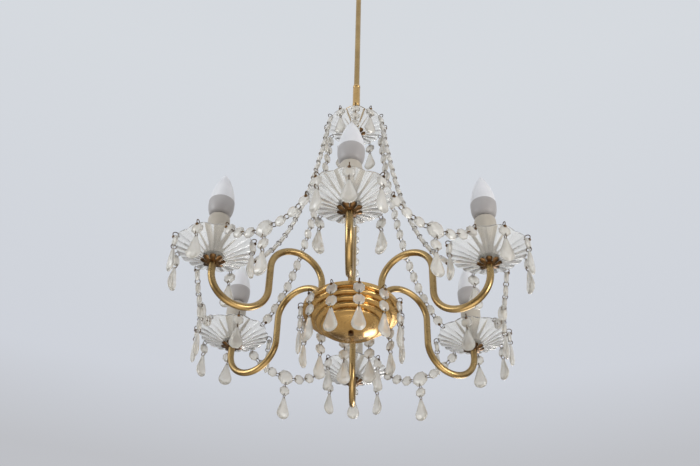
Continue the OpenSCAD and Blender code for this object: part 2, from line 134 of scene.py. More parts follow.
# The crown chain hangs in a catenary of its own length.
CHAIN_L = CHAIN_COUNT * SPAN + (CHAIN_COUNT - 1) * 2 * RING_R
CHAIN_X0, CHAIN_Z0 = CROWN_R - PIN_IN + PIN_RING_R, CROWN_Z - PIN_LOW - PIN_RING_R
CHAIN_RING_X = CANDLE_R - DISH_R + PIN_IN - PIN_RING_R
CHAIN_X1 = CHAIN_RING_X - PIN_RING_R * math.cos(math.radians(CHAIN_LEAN))
CHAIN_Z1 = PIN_Z + PIN_RING_R * math.sin(math.radians(CHAIN_LEAN))
chain_dx, chain_dz = CHAIN_X1 - CHAIN_X0, CHAIN_Z0 - CHAIN_Z1
chain_flat = math.sqrt(CHAIN_L**2 - chain_dz**2)
CHAIN_A = bisect(lambda a: 2 * a * math.sinh(chain_dx / (2 * a)) - chain_flat, 12, 400)
CHAIN_LOW_X = (CHAIN_X0 + CHAIN_X1) / 2 + CHAIN_A * math.asinh(chain_dz / chain_flat)
CHAIN_LOW_Z = CHAIN_Z1 - CHAIN_A * (math.cosh((CHAIN_X1 - CHAIN_LOW_X) / CHAIN_A) - 1)
CHAIN_S0 = CHAIN_A * math.sinh((CHAIN_X0 - CHAIN_LOW_X) / CHAIN_A)


def chain_point(s):
    x = CHAIN_A * math.asinh((CHAIN_S0 + s) / CHAIN_A)
    return CHAIN_LOW_X + x, CHAIN_LOW_Z + CHAIN_A * (math.cosh(x / CHAIN_A) - 1)


def along_chain(k, start, span):
    (ax, az), (bx, bz) = chain_point(start), chain_point(start + span)
    lean = math.degrees(math.atan2(az - bz, bx - ax)) - 90
    return around(arm_turn(k)) @ shift(ax, 0, az) @ turn(lean, "Y")


# A swag hangs in a shallow arc of its own length.
SWAG_X = CANDLE_R * math.cos(math.pi / 6) + (DISH_R - PIN_IN) / 2 + PIN_RING_R
SWAG_Y = CANDLE_R / 2 - (DISH_R - PIN_IN) * math.cos(math.pi / 6)
SWAG_Z = PIN_Z - PIN_RING_R
SWAG_L = 6 * SPAN + ROSETTE_SPAN + 12 * RING_R
SWAG_T = bisect(lambda t: math.sin(t) / t - 2 * SWAG_Y / SWAG_L, 0.02, 1.55)
SWAG_ARC = SWAG_L / 2 / SWAG_T


def swag_point(s):
    t = s / SWAG_ARC
    return SWAG_ARC * math.sin(t), SWAG_ARC * (math.cos(SWAG_T) - math.cos(t))


ROSETTE_Z = swag_point(ROSETTE_SPAN / 2)[1]


def along_swag(k, side, start, span):
    (ay, az), (by, bz) = swag_point(start), swag_point(start + span)
    lean = math.degrees(math.atan2(bz - az, by - ay)) + 90
    mirror = Matrix.Diagonal((1, side, 1, 1))
    return at_swag(k) @ mirror @ shift(0, ay, az) @ turn(lean, "X")


# ---------------------------------------------------------------- mesh helpers
def mesh_from(name, verts, faces, smooth_angle=None):
    """A mesh from vertices in millimetres. smooth_angle in degrees keeps sharper edges crisp."""
    mesh = bpy.data.meshes.new(name)
    mesh.from_pydata([[c * MM for c in v] for v in verts], [], faces)
    mesh.update()
    bm = bmesh.new()
    bm.from_mesh(mesh)
    bmesh.ops.remove_doubles(bm, verts=bm.verts, dist=1e-7)
    bmesh.ops.recalc_face_normals(bm, faces=bm.faces)
    bm.to_mesh(mesh)
    bm.free()
    finish_shading(mesh, smooth_angle)
    return mesh


def finish_shading(mesh, smooth_angle):
    if smooth_angle is None:
        return
    for polygon in mesh.polygons:
        polygon.use_smooth = True
    mesh.set_sharp_from_angle(angle=math.radians(smooth_angle))


def lathe(name, profile, segments=64, smooth_angle=35):
    """Turns [r, z] points, in millimetres, about Z. Points on the axis close the shape."""
    verts, faces = [], []
    for r, z in profile:
        for j in range(segments):
            a = 2 * math.pi * j / segments
            verts.append((r * math.cos(a), r * math.sin(a), z))
    rows = len(profile)
    for i in range(rows):
        n = (i + 1) % rows
        if profile[i][0] < 1e-6 and profile[n][0] < 1e-6:
            continue
        for j in range(segments):
            k = (j + 1) % segments
            ring = [i * segments + j, i * segments + k, n * segments + k, n * segments + j]
            faces.append(ring)
    mesh = bpy.data.meshes.new(name)
    bm = bmesh.new()
    made = [bm.verts.new([c * MM for c in v]) for v in verts]
    for f in faces:
        bm.faces.new([made[i] for i in f])
    bmesh.ops.remove_doubles(bm, verts=bm.verts, dist=1e-7)
    bmesh.ops.dissolve_degenerate(bm, edges=bm.edges, dist=1e-8)
    bmesh.ops.recalc_face_normals(bm, faces=bm.faces)
    bm.to_mesh(mesh)
    bm.free()
    finish_shading(mesh, smooth_angle)
    return mesh


def arc(cx, cz, r, start, end, steps, rz=None):
    """[r, z] points of an arc, for a lathe profile."""
    rz = r if rz is None else rz
    points = []
    for i in range(steps + 1):
        a = math.radians(start + (end - start) * i / steps)
        points.append((cx + r * math.cos(a), cz + rz * math.sin(a)))
    return points


def sweep(name, path, radius, sides=24):
    """A round tube along points in the XZ plane, in millimetres, with flat ends."""
    verts, faces = [], []
    for i, (x, z) in enumerate(path):
        (px, pz), (nx, nz) = path[max(i - 1, 0)], path[min(i + 1, len(path) - 1)]
        length = math.hypot(nx - px, nz - pz)
        tx, tz = (nx - px) / length, (nz - pz) / length
        for j in range(sides):
            a = 2 * math.pi * j / sides
            out, side = radius * math.cos(a), radius * math.sin(a)
            verts.append((x - tz * out, side, z + tx * out))
    for i in range(len(path) - 1):
        for j in range(sides):
            k = (j + 1) % sides
            faces.append([i * sides + j, i * sides + k, (i + 1) * sides + k, (i + 1) * sides + j])
    faces.append(list(range(sides)))
    faces.append([(len(path) - 1) * sides + j for j in range(sides)])
    return mesh_from(name, verts, faces, 40)


def torus(name, major, minor, around_steps=22, tube_steps=8):
    """A wire ring in the XZ plane."""
    verts, faces = [], []
    for i in range(around_steps):
        a = 2 * math.pi * i / around_steps
        for j in range(tube_steps):
            b = 2 * math.pi * j / tube_steps
            r = major + minor * math.cos(b)
            verts.append((r * math.cos(a), minor * math.sin(b), r * math.sin(a)))
    for i in range(around_steps):
        n = (i + 1) % around_steps
        for j in range(tube_steps):
            k = (j + 1) % tube_steps
            faces.append([i * tube_steps + j, n * tube_steps + j, n * tube_steps + k, i * tube_steps + k])
    return mesh_from(name, verts, faces, 60)


def drilled(mesh, holes, radius, length, axis="X"):
    """The mesh with round holes through it. Each hole is a matrix whose chosen axis is the drill."""
    cutter_mesh = bpy.data.meshes.new(mesh.name + "_drill")
    spin = {"X": turn(90, "Y"), "Z": HERE}[axis]
    bm = bmesh.new()
    for hole in holes:
        bmesh.ops.create_cone(
            bm, cap_ends=True, segments=14, radius1=radius * MM, radius2=radius * MM,
            depth=length * MM, matrix=hole @ spin)
    bm.to_mesh(cutter_mesh)
    bm.free()
    cutter = bpy.data.objects.new("drill", cutter_mesh)
    body = bpy.data.objects.new("drilled", mesh)
    for o in (cutter, body):
        bpy.context.scene.collection.objects.link(o)
    cut = body.modifiers.new("cut", "BOOLEAN")
    cut.operation, cut.solver, cut.object = "DIFFERENCE", "EXACT", cutter
    done = bpy.data.meshes.new_from_object(body.evaluated_get(bpy.context.evaluated_depsgraph_get()))
    done.name = mesh.name
    for o in (cutter, body):
        bpy.data.objects.remove(o)
    bpy.data.meshes.remove(cutter_mesh)
    return done


def add_piece(name, mesh, place, body, material, nodes=()):
    """One visible piece: its mesh put in place, riding on its body, in its finish."""
    mesh = mesh.copy()
    mesh.transform(place)
    if place.is_negative:
        mesh.flip_normals()
    piece = bpy.data.objects.new(name, mesh)
    bpy.context.scene.collection.objects.link(piece)
    mesh.materials.clear()
    mesh.materials.append(material)
    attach(piece, body)
    if nodes:
        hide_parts(*nodes)
    return piece


def joined(name, parts):
    """One mesh from (mesh, matrix) pairs."""
    bm = bmesh.new()
    for mesh, place in parts:
        copy = mesh.copy()
        copy.transform(place)
        if place.is_negative:
            copy.flip_normals()
        bm.from_mesh(copy)
        bpy.data.meshes.remove(copy)
    result = bpy.data.meshes.new(name)
    bm.to_mesh(result)
    bm.free()
    return result


# ---------------------------------------------------------------- materials
def new_material(name):
    material = bpy.data.materials.new(name)
    material.use_nodes = True
    tree = material.node_tree
    shader = next(n for n in tree.nodes if n.type == "BSDF_PRINCIPLED")
    return material, tree, shader


def noise(tree, scale, detail):
    """Noise in the piece's own place, so that it doesn't slide."""
    place = tree.nodes.new("ShaderNodeTexCoord")
    texture = tree.nodes.new("ShaderNodeTexNoise")
    texture.inputs["Scale"].default_value = scale
    texture.inputs["Detail"].default_value = detail
    tree.links.new(place.outputs["Object"], texture.inputs["Vector"])
    return texture.outputs["Fac"]


def ramp(tree, source, stops):
    """A colour ramp: stops are (position, value or colour)."""
    node = tree.nodes.new("ShaderNodeValToRGB")
    elements = node.color_ramp.elements
    while len(elements) < len(stops):
        elements.new(0.5)
    for element, (position, value) in zip(elements, stops):
        element.position = position
        colour = value if isinstance(value, tuple) else (value, value, value)
        element.color = (*colour, 1)
    tree.links.new(source, node.inputs["Fac"])
    return node.outputs["Color"]


def multiply(tree, a, b):
    node = tree.nodes.new("ShaderNodeMix")
    node.data_type, node.blend_type = "RGBA", "MULTIPLY"
    node.inputs["Factor"].default_value = 1
    tree.links.new(a, node.inputs["A"])
    tree.links.new(b, node.inputs["B"])
    return node.outputs["Result"]


def bump(tree, shader, source, strength, distance):
    node = tree.nodes.new("ShaderNodeBump")
    node.inputs["Strength"].default_value = strength
    node.inputs["Distance"].default_value = distance
    tree.links.new(source, node.inputs["Height"])
    tree.links.new(node.outputs["Normal"], shader.inputs["Normal"])


def brass_material(name, dark, light, rough):
    """Lacquered brass: a slow change of tone, small dark spots and uneven gloss."""
    material, tree, shader = new_material(name)
    shader.inputs["Metallic"].default_value = 1
    tone = ramp(tree, noise(tree, 22, 4), [(0.3, dark), (0.7, light)])
    spots = ramp(tree, noise(tree, 420, 3), [(0.30, 0.55), (0.40, 1.0)])
    tree.links.new(multiply(tree, tone, spots), shader.inputs["Base Color"])
    gloss = ramp(tree, noise(tree, 60, 5), [(0.3, rough), (0.75, rough + 0.14)])
    tree.links.new(gloss, shader.inputs["Roughness"])
    bump(tree, shader, noise(tree, 90, 2), 0.12, 0.0006)
    return material


def aged_brass_material():
    """The darker, browner brass of the stamped pans."""
    material, tree, shader = new_material("aged_brass")
    shader.inputs["Metallic"].default_value = 1
    tone = ramp(tree, noise(tree, 130, 4), [(0.3, (0.045, 0.022, 0.010)), (0.7, (0.20, 0.115, 0.05))])
    tree.links.new(tone, shader.inputs["Base Color"])
    tree.links.new(ramp(tree, noise(tree, 200, 4), [(0.3, 0.12), (0.7, 0.26)]), shader.inputs["Roughness"])
    return material


def steel_material():
    material, tree, shader = new_material("zinc_steel")
    shader.inputs["Metallic"].default_value = 1
    tone = ramp(tree, noise(tree, 120, 6), [(0.35, (0.42, 0.43, 0.44)), (0.65, (0.62, 0.62, 0.60))])
    tree.links.new(tone, shader.inputs["Base Color"])
    tree.links.new(ramp(tree, noise(tree, 200, 4), [(0.3, 0.3), (0.7, 0.5)]), shader.inputs["Roughness"])
    return material


def wire_material():
    material, tree, shader = new_material("bronzed_wire")
    shader.inputs["IOR"].default_value = 1.05
    tone = ramp(tree, noise(tree, 300, 3), [(0.3, (0.045, 0.022, 0.008)), (0.7, (0.12, 0.065, 0.022))])
    tree.links.new(tone, shader.inputs["Base Color"])
    tree.links.new(ramp(tree, noise(tree, 500, 2), [(0.3, 0.42), (0.7, 0.58)]), shader.inputs["Roughness"])
    return material


def crystal_material():
    material, tree, shader = new_material("cut_crystal")
    shader.inputs["Transmission Weight"].default_value = 0.68
    shader.inputs["IOR"].default_value = 1.52
    tone = ramp(tree, noise(tree, 45, 4), [(0.3, (0.83, 0.795, 0.725)), (0.7, (0.94, 0.92, 0.87))])
    tree.links.new(tone, shader.inputs["Base Color"])
    tree.links.new(ramp(tree, noise(tree, 160, 3), [(0.3, 0.07), (0.7, 0.15)]), shader.inputs["Roughness"])
    return material


def dish_material():
    material, tree, shader = new_material("pressed_glass")
    shader.inputs["Transmission Weight"].default_value = 0.90
    shader.inputs["IOR"].default_value = 1.42
    tone = ramp(tree, noise(tree, 30, 3), [(0.3, (0.94, 0.93, 0.90)), (0.7, (0.985, 0.98, 0.96))])
    tree.links.new(tone, shader.inputs["Base Color"])
    tree.links.new(ramp(tree, noise(tree, 120, 3), [(0.3, 0.10), (0.7, 0.18)]), shader.inputs["Roughness"])
    bump(tree, shader, noise(tree, 140, 2), 0.15, 0.0005)
    return material


def opal_material():
    material, tree, shader = new_material("opal_globe")
    shader.inputs["Subsurface Weight"].default_value = 0.5
    shader.inputs["Subsurface Radius"].default_value = (0.02, 0.02, 0.02)
    tone = ramp(tree, noise(tree, 40, 2), [(0.3, (0.66, 0.66, 0.68)), (0.7, (0.72, 0.72, 0.735))])
    tree.links.new(tone, shader.inputs["Base Color"])
    tree.links.new(ramp(tree, noise(tree, 300, 3), [(0.3, 0.32), (0.7, 0.42)]), shader.inputs["Roughness"])
    return material


def plastic_material(name, dark, light, rough):
    """Moulded plastic: two close tones, a fine grain and a slight orange peel."""
    material, tree, shader = new_material(name)
    tree.links.new(ramp(tree, noise(tree, 35, 4), [(0.3, dark), (0.7, light)]), shader.inputs["Base Color"])
    gloss = ramp(tree, noise(tree, 220, 3), [(0.3, rough - 0.06), (0.7, rough + 0.06)])
    tree.links.new(gloss, shader.inputs["Roughness"])
    bump(tree, shader, noise(tree, 700, 2), 0.08, 0.0003)
    return material


BRASS = brass_material("polished_brass", (0.48, 0.30, 0.115), (0.67, 0.44, 0.18), 0.17)
TUBE_BRASS = brass_material("tube_brass", (0.35, 0.235, 0.10), (0.49, 0.34, 0.15), 0.24)
AGED_BRASS = aged_brass_material()
STEEL = steel_material()
WIRE = wire_material()
CRYSTAL = crystal_material()
DISH_GLASS = dish_material()
OPAL = opal_material()
COLLAR = plastic_material("lamp_collar", (0.345, 0.325, 0.318), (0.395, 0.375, 0.368), 0.45)
CREAM = plastic_material("candle_cream", (0.42, 0.375, 0.31), (0.48, 0.435, 0.365), 0.42)
# White plastic whose tone is made warmer and brighter than the plastic itself: painted light, standing in
# for the warm light that the glass passes and the brass reflects onto the holders' shaded undersides.
WHITE_WITH_PAINTED_BOUNCE = plastic_material("holder_white_painted_bounce", (0.76, 0.72, 0.64), (0.84, 0.80, 0.73), 0.5)
SHEATH = plastic_material("cable_sheath", (0.66, 0.66, 0.64), (0.74, 0.74, 0.72), 0.5)


# ---------------------------------------------------------------- camera, light, floor
# Metres, radians, and the lens in millimetres.
CAMERA_BACK, CAMERA_BELOW, CAMERA_SIDE = 1.0278, 0.7000, -0.0051
CAMERA_YAW, CAMERA_PITCH, CAMERA_ROLL = 0.0292, 0.6877, 0.0263
CAMERA_LENS = 43.78
FLOOR_Z, FLOOR_R = -3.6, 9.0


def make_camera():
    data = bpy.data.cameras.new("camera")
    data.sensor_width, data.lens = 36, CAMERA_LENS
    camera = bpy.data.objects.new("camera", data)
    bpy.context.scene.collection.objects.link(camera)
    spot = Matrix.Translation((CAMERA_SIDE, -CAMERA_BACK, PAN_Z - CAMERA_BELOW))
    look = Matrix.Rotation(math.pi / 2 + CAMERA_PITCH, 4, "X") @ Matrix.Rotation(CAMERA_ROLL, 4, "Z")
    camera.matrix_world = Matrix.Rotation(CAMERA_YAW, 4, "Z") @ spot @ look
    bpy.context.scene.camera = camera


def add_light(name, place, target, size, power, colour, spread=180):
    data = bpy.data.lights.new(name, "AREA")
    data.spread = math.radians(spread)
    data.shape, data.size, data.size_y = "RECTANGLE", size[0], size[1]
    data.energy, data.color = power, colour
    light = bpy.data.objects.new(name, data)
    bpy.context.scene.collection.objects.link(light)
    aim = Vector(target) - Vector(place)
    light.matrix_world = Matrix.Translation(place) @ aim.to_track_quat("-Z", "Y").to_matrix().to_4x4()
    light.visible_camera = False
    light.visible_transmission = False


def make_world():
    """A pale surround: what the eye sees is even, and what lights the piece darkens downwards."""
    world = bpy.data.worlds.new("surround")
    world.use_nodes = True
    bpy.context.scene.world = world
    tree = world.node_tree
    back = next(n for n in tree.nodes if n.type == "BACKGROUND")
    place = tree.nodes.new("ShaderNodeTexCoord")
    split = tree.nodes.new("ShaderNodeSeparateXYZ")
    tree.links.new(place.outputs["Generated"], split.inputs["Vector"])
    up = tree.nodes.new("ShaderNodeMapRange")
    up.inputs["From Min"].default_value, up.inputs["From Max"].default_value = -1, 1
    tree.links.new(split.outputs["Z"], up.inputs["Value"])
    seen = ramp(tree, up.outputs["Result"], [(0.45, (0.50, 0.51, 0.54)), (0.70, (0.52, 0.53, 0.56)),
                                             (0.745, (0.62, 0.645, 0.70)), (0.88, (0.67, 0.70, 0.74))])
    cast = ramp(tree, up.outputs["Result"], [(0.0, (0.78, 0.72, 0.62)), (0.22, (0.50, 0.46, 0.395)),
                                             (0.40, (0.13, 0.11, 0.09)), (0.50, (0.16, 0.14, 0.12)),
                                             (0.64, (0.56, 0.57, 0.60)), (0.74, (0.68, 0.70, 0.74)),
                                             (1.0, (0.84, 0.87, 0.92))])
    path = tree.nodes.new("ShaderNodeLightPath")
    mix = tree.nodes.new("ShaderNodeMix")
    mix.data_type = "RGBA"
    tree.links.new(path.outputs["Is Camera Ray"], mix.inputs["Factor"])
    tree.links.new(cast, mix.inputs["A"])
    tree.links.new(seen, mix.inputs["B"])
    tree.links.new(mix.outputs["Result"], back.inputs["Color"])
    back.inputs["Strength"].default_value = 1.0


def make_floor():
    material, tree, shader = new_material("floor_paint")
    tone = ramp(tree, noise(tree, 2.0, 3), [(0.3, (0.62, 0.62, 0.61)), (0.7, (0.645, 0.645, 0.635))])
    tree.links.new(tone, shader.inputs["Base Color"])
    shader.inputs["Roughness"].default_value = 0.8
    bm = bmesh.new()
    bmesh.ops.create_circle(bm, cap_ends=True, segments=96, radius=FLOOR_R,
                            matrix=Matrix.Translation((0, 0, FLOOR_Z)))
    mesh = bpy.data.meshes.new("floor")
    bm.to_mesh(mesh)
    bm.free()
    mesh.materials.append(material)
    floor = bpy.data.objects.new("floor", mesh)
    bpy.context.scene.collection.objects.link(floor)
    floor.visible_glossy = False


bpy.context.scene.view_settings.view_transform = "Standard"
make_camera()
make_world()
make_floor()
add_light("window_right", (1.9, -1.5, -1.4), (0, 0, -1.0), (1.0, 1.2), 8.5, (1.0, 0.98, 0.95), 90)
add_light("window_left", (-2.2, -1.0, -0.7), (0, 0, -0.95), (1.2, 1.6), 30, (0.95, 0.98, 1.0))
add_light("window_behind", (1.1, 3.0, -1.75), (0, 0, -1.0), (1.3, 1.3), 24, (1.0, 0.98, 0.95), 150)
add_light("bounce", (0.2, -0.7, -2.35), (0.2, -0.7, 0), (1.4, 1.4), 8, (1.0, 0.95, 0.88))


# ---------------------------------------------------------------- crystals
def cut_bead(name, width, table, middle, depth, holes):
    """A cut octagon in the YZ plane, centred on the origin: girdle, star facets and a table."""
    outer = width / 2 / math.cos(math.pi / 8)
    girdle = 0.9
    rings = []
    for side in (1, -1):
        rings.append((outer, girdle * side, 22.5))
        rings.append((outer * middle, (girdle + (depth - girdle) * 0.72) * side, 0))
        rings.append((outer * table, depth * side, 22.5))
    verts = []
    for r, x, offset in rings:
        for j in range(8):
            a = math.radians(offset + 45 * j)
            verts.append((x, r * math.cos(a), r * math.sin(a)))
    faces = []
    for base in (0, 24):
        for j in range(8):
            k = (j + 1) % 8
            faces.append([base + j, base + k, base + 8 + k])
            faces.append([base + 8 + j, base + j, base + 8 + k])
            faces.append([base + 8 + j, base + 8 + k, base + 16 + j])
            faces.append([base + 16 + j, base + 8 + k, base + 16 + k])
        faces.append([base + 16 + j for j in range(8)])
    for j in range(8):
        k = (j + 1) % 8
        faces.append([j, k, 24 + k, 24 + j])
    return drilled(mesh_from(name, verts, faces), [shift(0, y, z) for y, z in holes], BEAD_HOLE_R, DRILL_L)


def pear_outline(count=16):
    """The outline of a pear drop, its hole at the origin, as (y, z) in millimetres."""
    tip, belly = DROP_HOLE, DROP_W / 2
    drop = DROP_L - tip - belly
    flank = math.degrees(math.asin((belly - tip) / drop))
    points = arc(0, 0, tip, flank, 180 - flank, 3)
    points += arc(0, -drop, belly, 180 - flank, 360 + flank, count - 4)
    return points


def pear_mesh():
    """A cut pear: the outline shrinks towards a table in steps, each a ring of flat facets."""
    outline = pear_outline()
    n = len(outline)
    heart = (0.0, -(DROP_L - DROP_HOLE - DROP_W / 2) * 0.92)
    steps = [(1.0, 0.9), (0.74, 2.9), (0.40, 3.95)]
    verts, faces = [], []
    for side in (1, -1):
        for share, thick in steps:
            for y, z in outline:
                shrunk = [middle + (c - middle) * share for c, middle in zip((y, z), heart)]
                verts.append((thick * side, *shrunk))
    for s in range(2):
        for step in range(len(steps) - 1):
            base = (s * len(steps) + step) * n
            for j in range(n):
                k = (j + 1) % n
                if (j + step) % 2:
                    faces += [[base + j, base + k, base + n + k], [base + j, base + n + k, base + n + j]]
                else:
                    faces += [[base + j, base + k, base + n + j], [base + k, base + n + k, base + n + j]]
        faces.append([(s * len(steps) + len(steps) - 1) * n + j for j in range(n)])
    for j in range(n):
        k = (j + 1) % n
        faces.append([j, k, len(steps) * n + k, len(steps) * n + j])
    return drilled(mesh_from("pear", verts, faces), [HERE], BEAD_HOLE_R, DRILL_L)


half, rosette_half = SPAN / 2, ROSETTE_SPAN / 2
OCTAGON = cut_bead("octagon", OCTAGON_W, 0.42, 0.74, OCTAGON_T / 2, [(0, half), (0, -half)])
ROSETTE = cut_bead("rosette", ROSETTE_W, 0.40, 0.74, ROSETTE_T / 2,
                   [(rosette_half, 0), (-rosette_half, 0), (0, -rosette_half)])
PEAR = pear_mesh()
RING = torus("ring", RING_R - WIRE_EXTRA, WIRE_R)
PIN_RING = torus("pin_ring", PIN_RING_R - WIRE_EXTRA, WIRE_R)
HEAD_R, HEAD_OUT = 2.3, 2.5
HEAD = lathe("pin_head", arc(0, 0, HEAD_R, -90, 90, 12), 20, 60)

hang_octagon = shift(0, 0, -half)
hang_ring = shift(0, 0, -RING_R)


def pin_head(place, lower=False, face=1):
    """A rim pin's round head, in the face of an octagon at its upper or lower hole."""
    return HEAD, place @ shift(HEAD_OUT * face, 0, -SPAN if lower else 0)


def string_parts(place, count):
    """A hanging string as (beads, drops, rings), from the lowest point of its pin ring."""
    beads = [(OCTAGON, place @ shift(0, 0, -i * PITCH) @ hang_octagon) for i in range(count)]
    rings = [(PIN_RING, place @ shift(0, 0, PIN_RING_R))]
    rings += [(RING, place @ shift(0, 0, -i * PITCH - SPAN) @ hang_ring) for i in range(count)]
    return beads, [(PEAR, place @ shift(0, 0, -count * PITCH))], rings


def dish_strings(k):
    return [at_candle(k) @ turn(a) @ shift(DISH_R - PIN_IN + PIN_RING_R, 0, PIN_Z - PIN_RING_R)
            for a in (0, 45, -45, 135, -135)]


crown_strings = [around(arm_turn(k) + 30) @ shift(CHAIN_X0, 0, CHAIN_Z0) for k in range(1, ARMS + 1)]
bowl_turns = [BOWL_FIRST - 90 + 360 * i / BOWL_STRINGS for i in range(BOWL_STRINGS)]
bowl_strings = [around(a) @ shift(BOWL_PIN_X, 0, -BOWL_PIN_Z - PIN_RING_R) for a in bowl_turns]
all_beads, all_drops, all_rings, all_heads = [], [], [], []
strings = [(p, 1) for k in range(1, ARMS + 1) for p in dish_strings(k)]
strings += [(p, 1) for p in crown_strings] + [(p, 2) for p in bowl_strings]
for place, count in strings:
    beads, drops, rings = string_parts(place, count)
    all_beads += beads
    all_drops += drops
    all_rings += rings
    all_heads.append(pin_head(place))
chain_octagons = []
for k in range(1, ARMS + 1):
    all_rings.append((PIN_RING, around(arm_turn(k)) @ shift(CHAIN_X0, 0, CHAIN_Z0 + PIN_RING_R)))
    all_rings.append((PIN_RING, around(arm_turn(k)) @ shift(CHAIN_RING_X, 0, PIN_Z)))
    for i in range(CHAIN_COUNT):
        chain_octagons.append((OCTAGON, along_chain(k, i * PITCH, SPAN) @ hang_octagon))
    for i in range(1, CHAIN_COUNT):
        all_rings.append((RING, along_chain(k, i * PITCH - 2 * RING_R, 2 * RING_R) @ hang_ring))
    all_heads.append(pin_head(along_chain(k, (CHAIN_COUNT - 1) * PITCH, SPAN), lower=True, face=-1))
    for side in (-1, 1):
        all_rings.append((PIN_RING, at_swag(k) @ shift(0, side * SWAG_Y, PIN_RING_R)))

add_piece("string_octagons", joined("string_octagons", all_beads), HERE, "chandelier", CRYSTAL,
          ["string_beads"])
add_piece("string_pears", joined("string_pears", all_drops), HERE, "chandelier", CRYSTAL,
          ["string_drops"])
add_piece("chain_octagons", joined("chain_octagons", chain_octagons), HERE, "chandelier", CRYSTAL,
          ["chain_beads"])
add_piece("link_rings", joined("link_rings", all_rings), HERE, "chandelier", WIRE,
          ["wire_links"])
add_piece("pin_heads", joined("pin_heads", all_heads), HERE, "chandelier", AGED_BRASS)

for k in range(1, ARMS + 1):
    beads = [(ROSETTE, at_swag(k) @ shift(0, 0, ROSETTE_Z))]
    rings, heads = [], []
    for side in (1, -1):
        for i in range(3):
            start = rosette_half + 2 * RING_R + i * PITCH
            rings.append((RING, along_swag(k, side, start - 2 * RING_R, 2 * RING_R) @ hang_ring))
            beads.append((OCTAGON, along_swag(k, side, start, SPAN) @ hang_octagon))
        heads.append(pin_head(along_swag(k, side, start, SPAN), lower=True))
    body = f"swag_{k}"
    add_piece(f"{body}_crystals", joined(body, beads), HERE, body, CRYSTAL, [body])
    add_piece(f"{body}_rings", joined(body, rings), HERE, body, WIRE, [body])
    add_piece(f"{body}_pin_heads", joined(body, heads), HERE, body, AGED_BRASS)
    body = f"swag_drop_{k}"
    pivot = at_swag(k) @ shift(0, 0, ROSETTE_Z - rosette_half)
    beads, drops, rings = string_parts(pivot @ shift(0, 0, -2 * RING_R), 1)
    rings[0] = (RING, pivot @ hang_ring)
    add_piece(f"{body}_crystals", joined(body, beads + drops), HERE, body, CRYSTAL, [body])
    add_piece(f"{body}_rings", joined(body, rings), HERE, body, WIRE, [body])


# ---------------------------------------------------------------- glass dishes
LOBES, FLUTES = 8, 24


def dish_mesh(name, bore, rim, tall, pins):
    """A pressed glass dish: a smooth inside, a fluted underside and a rim of eight lobes."""
    steps, segments = 22, FLUTES * 10
    start, base = bore + 2.6, 1.2
    lobe_in, lobe_drop, flute_depth = 3.2, 1.6, 1.9
    rise = tall - base - DISH_WALL
    verts, faces = [], []

    def point(t, a, upper):
        lobe = 1 - abs(math.cos(LOBES / 2 * a)) ** 0.8
        flute = abs(math.sin(FLUTES / 2 * a + math.pi / 2))
        r = start + (rim - start) * t - lobe_in * t**4 * lobe
        z = base + rise * t**0.8 - lobe_drop * t**3 * lobe
        if upper:
            return r, z + DISH_WALL
        return r, z + flute_depth * min(1.0, 2.5 * t) * (1 - flute)

    rows = [(i / steps, False) for i in range(steps + 1)] + [(i / steps, True) for i in range(steps, -1, -1)]
    for t, upper in rows:
        for j in range(segments):
            a = 2 * math.pi * j / segments
            r, z = point(t, a, upper)
            verts.append((r * math.cos(a), r * math.sin(a), z))
    for z in (base + DISH_WALL + 0.4, base):
        for j in range(segments):
            a = 2 * math.pi * j / segments
            verts.append((bore * math.cos(a), bore * math.sin(a), z))
    count = len(rows) + 2
    for i in range(count):
        n = (i + 1) % count
        for j in range(segments):
            k = (j + 1) % segments
            faces.append([i * segments + j, i * segments + k, n * segments + k, n * segments + j])
    mesh = mesh_from(name, verts, faces, 50)
    holes = [turn(a) @ shift(rim - PIN_IN, 0, tall - PIN_LOW) for a in pins]
    mesh = drilled(mesh, holes, HOLE_R, DRILL_L, "Z")
    finish_shading(mesh, 50)
    return mesh


CANDLE_BORE, COLUMN_R = 3.8, 5.3
CANDLE_DISH = dish_mesh("candle_dish", CANDLE_BORE, DISH_R, DISH_H, range(0, 360, 45))
CROWN_HUB = CROWN_Z - HUB_H
CROWN_DISH = dish_mesh("crown_dish", COLUMN_R + 0.1, CROWN_R, HUB_H, range(0, 360, 30))
for k in range(1, ARMS + 1):
    add_piece(f"candle_dish_{k}", CANDLE_DISH, at_candle(k), "chandelier", DISH_GLASS,
              ["candle_dishes"])
add_piece("crown_glass", CROWN_DISH, around(-90) @ shift(0, 0, CROWN_HUB), "chandelier", DISH_GLASS,
          ["crown_dish"])


# ---------------------------------------------------------------- brass
PAN_R = 17.0


